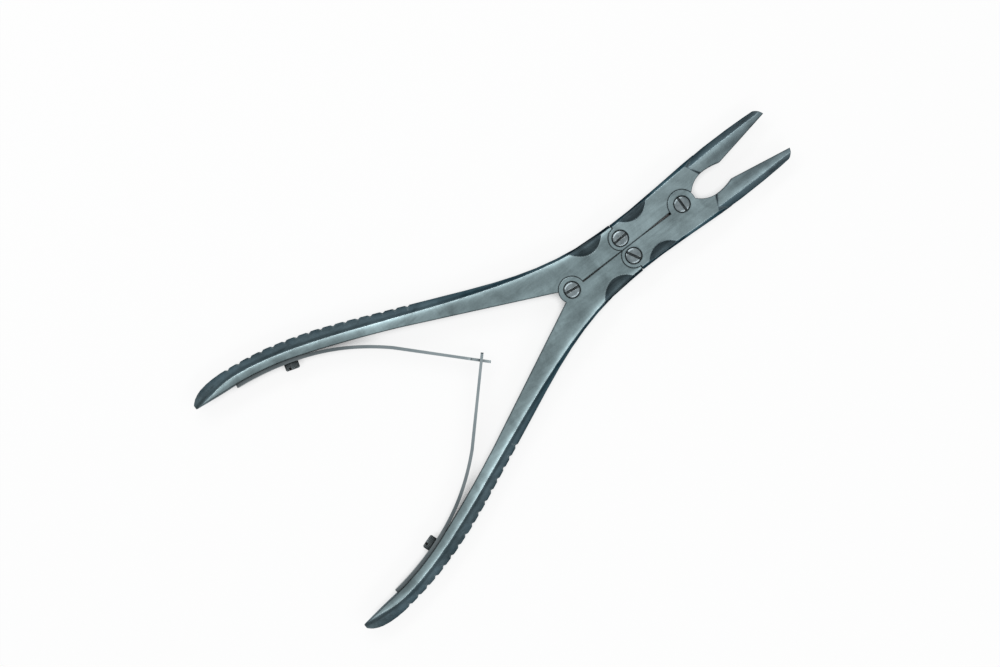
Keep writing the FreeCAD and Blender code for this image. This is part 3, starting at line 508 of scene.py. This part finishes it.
# Bar steel straight from the lathe: brighter than the forgings, with fine rings from the tool
def turned_steel(name, face, side, worn_and_highlit, roughness):
    material = new_material(name)
    tree = material.node_tree
    spot = add(tree, "ShaderNodeTexCoord").outputs["Object"]
    eased = add(tree, "ShaderNodeBevel", {"Radius": SCREW_EDGE}, samples=6)
    from_axis = add(tree, "ShaderNodeAttribute", attribute_name="turning_radius")
    phase = add(tree, "ShaderNodeMath", {
        0: from_axis.outputs["Fac"], 1: 2 * math.pi / RING_PITCH}, operation="MULTIPLY")
    rings = add(tree, "ShaderNodeMath", {0: phase.outputs[0]}, operation="SINE")
    # Turned edges are brighter: partly wear, partly a painted highlight
    edge = add(tree, "ShaderNodeMapRange", {
        "Value": flatness(tree, eased), "From Min": SCREW_EDGE_TURN[0],
        "From Max": SCREW_EDGE_TURN[1], "To Max": SCREW_EDGE_HIGHLIGHT_AND_WEAR})
    stains = add(tree, "ShaderNodeTexNoise", {
        "Vector": spot, "Scale": 1 / STAIN_SIZE, "Detail": 3.0})
    tone = add(tree, "ShaderNodeMix", {
        "Factor": stains.outputs[0], 6: linear(side), 7: linear(face)}, data_type="RGBA")
    highlight_and_wear = add(tree, "ShaderNodeMix", {
        "Factor": edge.outputs[0], 6: tone.outputs[2], 7: linear(worn_and_highlit)}, data_type="RGBA")

    # The knurled screws are painted darker, as shade, and painted shade darkens the corners round
    # the heads
    dark_screw_flag = add(tree, "ShaderNodeAttribute", attribute_name="shaded_screw_flag")
    screw_shade = add(tree, "ShaderNodeMapRange", {
        "Value": dark_screw_flag.outputs["Fac"], "To Min": 1.0, "To Max": SCREW_SHADE_SHARE})
    screw_shaded = add(tree, "ShaderNodeVectorMath", {0: highlight_and_wear.outputs[2], "Scale": screw_shade.outputs[0]},
                 operation="SCALE")
    corner = add(tree, "ShaderNodeAmbientOcclusion", {"Distance": SEAT_GAP}, samples=8)
    shade = add(tree, "ShaderNodeMapRange", {
        "Value": corner.outputs["AO"], "From Min": SEAT_OPENS[0], "From Max": SEAT_OPENS[1],
        "To Min": SEAT_SHADE, "To Max": 1.0})
    colour = add(tree, "ShaderNodeVectorMath", {0: screw_shaded.outputs[0], "Scale": shade.outputs[0]},
                 operation="SCALE")
    bumps = add(tree, "ShaderNodeBump", {
        "Height": rings.outputs[0], "Distance": RING_DEPTH, "Strength": 0.7,
        "Normal": eased.outputs["Normal"]})
    shader = add(tree, "ShaderNodeBsdfPrincipled", {
        "Base Color": colour.outputs[0], "Metallic": 1.0, "Roughness": roughness,
        "Normal": bumps.outputs[0]})
    add(tree, "ShaderNodeOutputMaterial", {"Surface": shader.outputs[0]})
    return material


screw_steel = turned_steel(
    "turned_stainless_bar", face="#a5b1b5", side="#4b585d", worn_and_highlit="#c3cdce", roughness=0.24)
painted = add(turned_screw, "GeometryNodeSetMaterial", {
    "Geometry": real.outputs[0], "Material": screw_steel})
add(turned_screw, "NodeGroupOutput", {"Geometry": painted.outputs[0]})


def in_scene(name, data):
    """A new object in the scene for a mesh, a lamp or a camera."""
    thing = bpy.data.objects.new(name, data)
    bpy.context.scene.collection.objects.link(thing)
    return thing


def finished_mesh(blank):
    """The plain mesh that a blank's modifiers leave, in place of the blank."""
    worked = blank.evaluated_get(bpy.context.evaluated_depsgraph_get())
    mesh = bpy.data.meshes.new_from_object(worked)
    bpy.data.objects.remove(blank)
    return mesh


def screw(node, body, seat, rotation, sizes):
    """Turns a screw of these sizes and sets the underside of its head on the seat."""
    blank = in_scene(node + "_blank", bpy.data.meshes.new(node + "_blank"))
    use_tree(blank, turned_screw, {**SCREW_SIZES, **sizes})
    mesh = finished_mesh(blank)
    mesh.transform(Matrix.Translation(seat) @ rotation.to_matrix().to_4x4())
    piece = in_scene(node + "_turned", mesh)
    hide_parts(node)
    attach(piece, body)


UPRIGHT = Vector((0, 0, 1))
HEAD_SEAT = 7.45 * MM
PIVOT_SCREWS = {
    "handle_pivot_screw": ("handle_upper_body", (0, 0), -8),
    "jaw_pivot_screw": ("jaw_upper_body", (48.8, 0), 88),
    "upper_link_screw": ("handle_upper_body", (24.4, 3.8), 2),
    "lower_link_screw": ("handle_lower_body", (24.4, -3.8), -62),
}
for node, (body, (along, across), slot_turn) in PIVOT_SCREWS.items():
    turn = Matrix.Rotation(math.radians(slot_turn), 3, "Z").to_quaternion()
    screw(node, body, Vector((along * MM, across * MM, HEAD_SEAT)), turn, {})


# Leaf springs: strips of rolled spring steel, tapered towards the crossing and bent to follow
# the handle where a screw clamps them. The upper one ends in a tongue that slides in the lower
# one's window, so the two push the handles open.

HALF_THICKNESS = 4.5 * MM
SEAT = Vector((-90.0, 40.8)) * MM
HEEL = Vector((-118.0, 46.7)) * MM
PALM_BULGE = 0.0342
LEAF_GAP = 0.08 * MM
LEAF_THICKNESS, LEAF_TIP_THICKNESS = 1.3 * MM, 1.0 * MM
LEAF_WIDTH, LEAF_TIP_WIDTH, TAIL_SHARE = 6.4 * MM, 4.4 * MM, 0.8
SCREW_ALONG, TAIL_REACH, CLAMP_REACH = 93.2 * MM, 20.3 * MM, 2.2 * MM
SPRING = Vector((-76.0, 33.3)) * MM
BLADE = Vector((-62.0, 22.6)) * MM
CROSS = Vector((-40.3, 0.0)) * MM
TONGUE_WIDTH, TONGUE_REACH = 1.6 * MM, 3.4 * MM
WINDOW_HEIGHT, WINDOW_LENGTH, EYE_REACH = 2.2 * MM, 3.6 * MM, 2.8 * MM
TAIL_ROWS, BEND_ROWS, BLADE_ROWS = 14, 16, 12
BLADE_TAPER, BLADE_TAPER_RATE = 0.5, 0.75
SCREW_HOLE_RADIUS, DRILL_LENGTH = 1.35 * MM, 8 * MM
BROKEN_EDGE, BROKEN_FROM = 0.16 * MM, math.radians(40)

chord = HEEL - SEAT
palm_way = Vector((chord.y, -chord.x)).normalized()
palm_depth = PALM_BULGE * chord.length
arc_radius = (chord.length ** 2 / 4 + palm_depth ** 2) / (2 * palm_depth)
arc_centre = (SEAT + HEEL) / 2 + palm_way * (palm_depth - arc_radius)


def inner_face(along):
    """Point on the upper handle's curved inner face, and the way out of it."""
    run = -along - arc_centre.x
    spot = arc_centre + Vector((run, math.sqrt(arc_radius ** 2 - run ** 2)))
    return spot, (arc_centre - spot).normalized()


def between(start, stop, start_way, stop_way, share):
    """Point on a smooth curve between two points that keeps both headings."""
    reach = (stop - start).length
    rest = 1 - share
    return (start * rest * rest * (1 + 2 * share) + start_way * reach * share * rest * rest
            + stop * share * share * (3 - 2 * share) - stop_way * reach * share * share * rest)


# Rows down the strip, each with its centre and its share of the taper from clamp to tip
tail, clamp = SCREW_ALONG + TAIL_REACH, SCREW_ALONG - CLAMP_REACH
line = []
for step in range(TAIL_ROWS + 1):
    spot, out = inner_face(tail + (clamp - tail) * step / TAIL_ROWS)
    line.append((spot + out * (LEAF_GAP + LEAF_THICKNESS / 2), 0.0))
clamp_way = Vector((-out.y, out.x)).normalized()
stops = [line[-1][0], SPRING, BLADE]
ways = [clamp_way, (BLADE - stops[0]).normalized(), (CROSS - SPRING).normalized()]
for index in range(2):
    for step in range(1, BEND_ROWS + 1):
        spot = between(stops[index], stops[index + 1], ways[index], ways[index + 1],
                       step / BEND_ROWS)
        line.append((spot, BLADE_TAPER * (index + step / BEND_ROWS) / 2))
tip_way = (CROSS - BLADE).normalized()
blade_reach = (CROSS - BLADE).length


def leaf_rows(ends):
    """The bent line above, then straight rows at the given places before or past the crossing."""
    rows = [(spot, share, None) for spot, share in line]
    straight = blade_reach + ends[0][0]
    for step in range(1, BLADE_ROWS):
        reach = straight * step / BLADE_ROWS
        taper = min(1.0, BLADE_TAPER + BLADE_TAPER_RATE * reach / blade_reach)
        rows.append((BLADE + tip_way * reach, taper, None))
    return rows + [(CROSS + tip_way * reach, 1.0, (width, columns))
                   for reach, width, columns in ends]


def strip_mesh(name, side, middle_width, ends):
    """A strip in three columns, so that its middle can run on as a tongue or be left out as a
    window. Its UV map is the distance down the strip and across it."""
    rows = leaf_rows(ends)
    mesh = bmesh.new()
    chart = mesh.loops.layers.uv.new("along_and_across")
    travelled, lattice, columns_after = 0.0, [], []
    for index, (spot, share, end) in enumerate(rows):
        before, after = rows[max(index - 1, 0)][0], rows[min(index + 1, len(rows) - 1)][0]
        way = (after - before).normalized()
        normal = Vector((-way.y, way.x))
        travelled += (spot - before).length
        width = LEAF_WIDTH + (LEAF_TIP_WIDTH - LEAF_WIDTH) * share
        middle, columns = middle_width, (0, 1, 2)
        if end:
            width, columns = end
            middle = min(middle_width, width)
        elif index == 0:
            width *= TAIL_SHARE
        thick = LEAF_THICKNESS + (LEAF_TIP_THICKNESS - LEAF_THICKNESS) * share
        row = []
        for across in (-width / 2, -middle / 2, middle / 2, width / 2):
            for face in (-0.5, 0.5):
                point = spot + normal * thick * face
                vertex = mesh.verts.new((point.x, side * point.y, HALF_THICKNESS + across))
                row.append((vertex, (travelled, across)))
        lattice.append(row)
        columns_after.append(columns)

    def wall(*corners):
        face = mesh.faces.new([vertex for vertex, _ in corners])
        face.smooth = True
        for loop, (_, place) in zip(face.loops, corners):
            loop[chart].uv = place

    for index in range(len(rows) - 1):
        near, far, now = lattice[index], lattice[index + 1], columns_after[index]
        earlier = columns_after[index - 1] if index else ()
        for column in now:
            low, high = 2 * column, 2 * column + 2
            wall(near[low], near[high], far[high], far[low])
            wall(near[low + 1], far[low + 1], far[high + 1], near[high + 1])
            if column - 1 not in now:
                wall(near[low], far[low], far[low + 1], near[low + 1])
            if column + 1 not in now:
                wall(near[high], near[high + 1], far[high + 1], far[high])
            if column not in earlier:
                wall(near[low], near[low + 1], near[high + 1], near[high])
            if column not in columns_after[index + 1]:
                wall(far[low], far[high], far[high + 1], far[low + 1])
    bmesh.ops.delete(mesh, geom=[vertex for vertex in mesh.verts if not vertex.link_faces],
                     context="VERTS")
    bmesh.ops.recalc_face_normals(mesh, faces=mesh.faces)
    blank_mesh = bpy.data.meshes.new(name)
    mesh.to_mesh(blank_mesh)
    mesh.free()
    return blank_mesh


def leaf(name, side, middle_width, ends):
    """The strip with a punched hole for its screw, and its edges broken in the tumbler."""
    blank = in_scene(name + "_blank", strip_mesh(name + "_blank", side, middle_width, ends))
    spot, out = inner_face(SCREW_ALONG)
    way = Vector((out.x, side * out.y, 0))
    drill_mesh = bpy.data.meshes.new(name + "_drill")
    drill = bmesh.new()
    bmesh.ops.create_cone(drill, cap_ends=True, segments=32, radius1=SCREW_HOLE_RADIUS,
                          radius2=SCREW_HOLE_RADIUS, depth=DRILL_LENGTH)
    drill.to_mesh(drill_mesh)
    drill.free()
    drill_mesh.transform(Matrix.Translation(Vector((spot.x, side * spot.y, HALF_THICKNESS)))
                         @ UPRIGHT.rotation_difference(way).to_matrix().to_4x4())
    drill_piece = in_scene(name + "_drill", drill_mesh)
    hole = blank.modifiers.new("hole", "BOOLEAN")
    hole.object = drill_piece
    hole.operation = "DIFFERENCE"
    broken = blank.modifiers.new("broken_edges", "BEVEL")
    broken.width = BROKEN_EDGE
    broken.segments = 2
    broken.limit_method = "ANGLE"
    broken.angle_limit = BROKEN_FROM
    broken.harden_normals = True
    mesh = finished_mesh(blank)
    bpy.data.objects.remove(drill_piece)
    return in_scene(name + "_strip", mesh)


STREAK_LAY = (110.0, 2200.0, 1.0)
DARK_TAIL_FROM, DARK_TAIL_TO, DARK_TAIL_SHARE = 38 * MM, 68 * MM, 0.55
CLAMP_GAP, CLAMP_OPENS, CLAMP_SHADE = 2.6 * MM, (0.2, 0.95), 0.2
STREAK_DEPTH, STREAK_GLOSS = 0.006 * MM, 0.06


# Cold-rolled strip: paler than the forgings, with drawn-out streaks along its length, and darker
# from its tail through the bend, fading out along the blade
def rolled_steel(name, light_tone, dark_tone, roughness):
    material = new_material(name)
    tree = material.node_tree
    chart = add(tree, "ShaderNodeUVMap", uv_map="along_and_across")
    stretch = add(tree, "ShaderNodeMapping", {"Vector": chart.outputs[0], "Scale": STREAK_LAY})
    streaks = add(tree, "ShaderNodeTexNoise", {
        "Vector": stretch.outputs[0], "Scale": 1.0, "Detail": 4.0})
    tone = add(tree, "ShaderNodeMix", {
        "Factor": streaks.outputs[0], 6: linear(dark_tone), 7: linear(light_tone)},
        data_type="RGBA")
    chart_parts = add(tree, "ShaderNodeSeparateXYZ", {"Vector": chart.outputs[0]})
    darker_tail = add(tree, "ShaderNodeMapRange", {
        "Value": chart_parts.outputs["X"], "From Min": DARK_TAIL_FROM, "From Max": DARK_TAIL_TO,
        "To Min": DARK_TAIL_SHARE, "To Max": 1.0})
    # Painted shade darkens the strip near the handle and round its screw
    corner = add(tree, "ShaderNodeAmbientOcclusion", {"Distance": CLAMP_GAP}, samples=6)
    shade = add(tree, "ShaderNodeMapRange", {
        "Value": corner.outputs["AO"], "From Min": CLAMP_OPENS[0], "From Max": CLAMP_OPENS[1],
        "To Min": CLAMP_SHADE, "To Max": 1.0})
    light = add(tree, "ShaderNodeMath", {0: shade.outputs[0], 1: darker_tail.outputs[0]},
                operation="MULTIPLY")
    colour = add(tree, "ShaderNodeVectorMath", {0: tone.outputs[2], "Scale": light.outputs[0]},
                 operation="SCALE")
    gloss = add(tree, "ShaderNodeMapRange", {
        "Value": streaks.outputs[0],
        "To Min": roughness - STREAK_GLOSS, "To Max": roughness + STREAK_GLOSS})
    bumps = add(tree, "ShaderNodeBump", {
        "Height": streaks.outputs[0], "Distance": STREAK_DEPTH, "Strength": 0.5})
    shader = add(tree, "ShaderNodeBsdfPrincipled", {
        "Base Color": colour.outputs[0], "Metallic": 1.0, "Roughness": gloss.outputs[0],
        "Normal": bumps.outputs[0]})
    add(tree, "ShaderNodeOutputMaterial", {"Surface": shader.outputs[0]})
    return material


spring_steel = rolled_steel(
    "cold_rolled_spring_strip", light_tone="#b4bec1", dark_tone="#75848a", roughness=0.3)
SHOULDER, SHOULDER_SHARE = 0.6 * MM, 0.8
TONGUE_NOSE, TONGUE_NOSE_SHARE = 0.5 * MM, 0.6
EYE_CORNER, EYE_CORNER_SHARE = 0.4 * MM, 0.82

# The last rows are given as distance past the crossing, width, and the columns that go on
LEAVES = {
    "leaf_spring_upper": (1, "handle_upper_body", "leaf_upper_body", TONGUE_WIDTH, [
        (-WINDOW_LENGTH - SHOULDER, LEAF_TIP_WIDTH, (0, 1, 2)),
        (-WINDOW_LENGTH, LEAF_TIP_WIDTH * SHOULDER_SHARE, (1,)),
        (TONGUE_REACH - TONGUE_NOSE, TONGUE_WIDTH, (1,)),
        (TONGUE_REACH, TONGUE_WIDTH * TONGUE_NOSE_SHARE, ())]),
    "leaf_spring_lower": (-1, "handle_lower_body", "leaf_lower_body", WINDOW_HEIGHT, [
        (-WINDOW_LENGTH / 2, LEAF_TIP_WIDTH, (0, 2)),
        (WINDOW_LENGTH / 2, LEAF_TIP_WIDTH, (0, 1, 2)),
        (EYE_REACH - EYE_CORNER, LEAF_TIP_WIDTH, (0, 1, 2)),
        (EYE_REACH, LEAF_TIP_WIDTH * EYE_CORNER_SHARE, ())]),
}
for node, (side, handle_body, leaf_body, middle_width, ends) in LEAVES.items():
    strip = leaf(node, side, middle_width, ends)
    strip.data.materials.clear()
    strip.data.materials.append(spring_steel)
    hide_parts(node)
    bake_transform(strip)

# The screws that clamp them: chamfered cheese heads, knurled round the side to be started by hand
seat_spot, seat_out = inner_face(SCREW_ALONG)
stand = 2 * LEAF_GAP + LEAF_THICKNESS
for node, body, side in (("spring_screw_upper", "handle_upper_body", 1),
                         ("spring_screw_lower", "handle_lower_body", -1)):
    way = Vector((seat_out.x, side * seat_out.y, 0))
    seat = Vector((seat_spot.x, side * seat_spot.y, HALF_THICKNESS)) + way * stand
    quarter = Matrix.Rotation(math.radians(90), 3, "Z").to_quaternion()
    screw(node, body, seat, UPRIGHT.rotation_difference(way) @ quarter, {
        "Head Radius": 2.6 * MM, "Head Height": 2.5 * MM, "Crown": 0.0, "Chamfer": 0.45 * MM,
        "Shank Radius": 1.1 * MM, "Shank Length": 1.3 * MM, "Slot Depth": 1.1 * MM,
        "Knurl Depth": 0.16 * MM, "Thread Radius": 1.1 * MM, "Thread Length": 4.66 * MM,
        "Thread Pitch": 0.4 * MM})


# Studio: a pale table under a soft overhead light, and a camera that looks straight down with
# the jaws to the upper right. The table's laminate is matt, and it shows white to the camera and
# in reflections, except close round and under the part, where a painted shadow fades it to the
# matt laminate.

TABLE_SIZE, TABLE_GAP = 6.0, 0.0001
SHADOW_REACH, SHADOW_OPENS, OPEN_WHITE = 4.0 * MM, (0.1, 0.7), 0.88
table_level = cad_box[0][2] - TABLE_GAP
half = TABLE_SIZE / 2
table_mesh = bpy.data.meshes.new("table_top")
table_mesh.from_pydata([(-half, -half, table_level), (half, -half, table_level),
                        (half, half, table_level), (-half, half, table_level)],
                       [], [(0, 1, 2, 3)])
table = in_scene("table_top", table_mesh)
laminate = new_material("matt_white_laminate")
tree = laminate.node_tree
matt = add(tree, "ShaderNodeBsdfDiffuse", {"Color": linear("#f4f5f5")})
white = add(tree, "ShaderNodeEmission", {"Strength": 1.0})
path = add(tree, "ShaderNodeLightPath")
seen = add(tree, "ShaderNodeMath", {
    0: path.outputs["Is Camera Ray"], 1: path.outputs["Is Glossy Ray"]}, operation="MAXIMUM")
seen_at_all = add(tree, "ShaderNodeMath", {
    0: seen.outputs[0], 1: path.outputs["Is Transmission Ray"]}, operation="MAXIMUM")
# Painted shadow: the white fades where the part closes the table in, darkest under the slit of the
# joint
under = add(tree, "ShaderNodeAmbientOcclusion", {"Distance": SHADOW_REACH}, samples=8)
open_floor = add(tree, "ShaderNodeMapRange", {
    "Value": under.outputs["AO"], "From Min": SHADOW_OPENS[0], "From Max": SHADOW_OPENS[1],
    "To Max": OPEN_WHITE})
lit = add(tree, "ShaderNodeMath", {0: seen_at_all.outputs[0], 1: open_floor.outputs[0]},
          operation="MULTIPLY")
blended = add(tree, "ShaderNodeMixShader", {
    0: lit.outputs[0], 1: matt.outputs[0], 2: white.outputs[0]})
add(tree, "ShaderNodeOutputMaterial", {"Surface": blended.outputs[0]})
table_mesh.materials.append(laminate)

scene = bpy.context.scene
scene.view_settings.view_transform = "Standard"

# The sky is bright overhead and dark at the horizon, so that upright faces read darker
HORIZON, OVERHEAD, OVERHEAD_FROM = 0.2, 0.98, 0.8
world = bpy.data.worlds.new("studio")
scene.world = world
world.use_nodes = True
sky = world.node_tree
sky.nodes.clear()
ray = add(sky, "ShaderNodeTexCoord")
ray_parts = add(sky, "ShaderNodeSeparateXYZ", {"Vector": ray.outputs["Generated"]})
height_glow = add(sky, "ShaderNodeMapRange", {
    "Value": ray_parts.outputs["Z"], "From Min": 0.0, "From Max": OVERHEAD_FROM,
    "To Min": HORIZON, "To Max": OVERHEAD})
glow = add(sky, "ShaderNodeBackground", {"Strength": height_glow.outputs[0]})
add(sky, "ShaderNodeOutputWorld", {"Surface": glow.outputs[0]})

# A long soft box on each side draws the highlights along the ridges and round the screw heads
BOX_LENGTH, BOX_WIDTH, BOX_ALONG, BOX_HEIGHT = 0.9, 0.18, -0.02, 0.6
for name, across, power in (("soft_box_upper", 0.55, 2.0), ("soft_box_lower", -0.55, 1.3)):
    lamp_data = bpy.data.lights.new(name, "AREA")
    lamp_data.shape = "RECTANGLE"
    lamp_data.size, lamp_data.size_y = BOX_LENGTH, BOX_WIDTH
    lamp_data.energy = power
    lamp = in_scene(name, lamp_data)
    lamp.location = (BOX_ALONG, across, BOX_HEIGHT)
    lamp.rotation_euler = Vector((0, -across, -BOX_HEIGHT)).to_track_quat("-Z", "Y").to_euler()

VIEW_CENTRE = (-0.0293, 0.00345)
VIEW_WIDTH = 0.350
VIEW_TURN = math.radians(-37.93)
LENS, SENSOR = 85.0, 36.0
FACE_LEVEL = 9.0 * MM
camera_data = bpy.data.cameras.new("camera")
camera_data.lens = LENS
camera_data.sensor_width = SENSOR
camera = in_scene("camera", camera_data)
camera.location = (*VIEW_CENTRE, FACE_LEVEL + VIEW_WIDTH * LENS / SENSOR)
camera.rotation_euler = (0, 0, VIEW_TURN)
scene.camera = camera
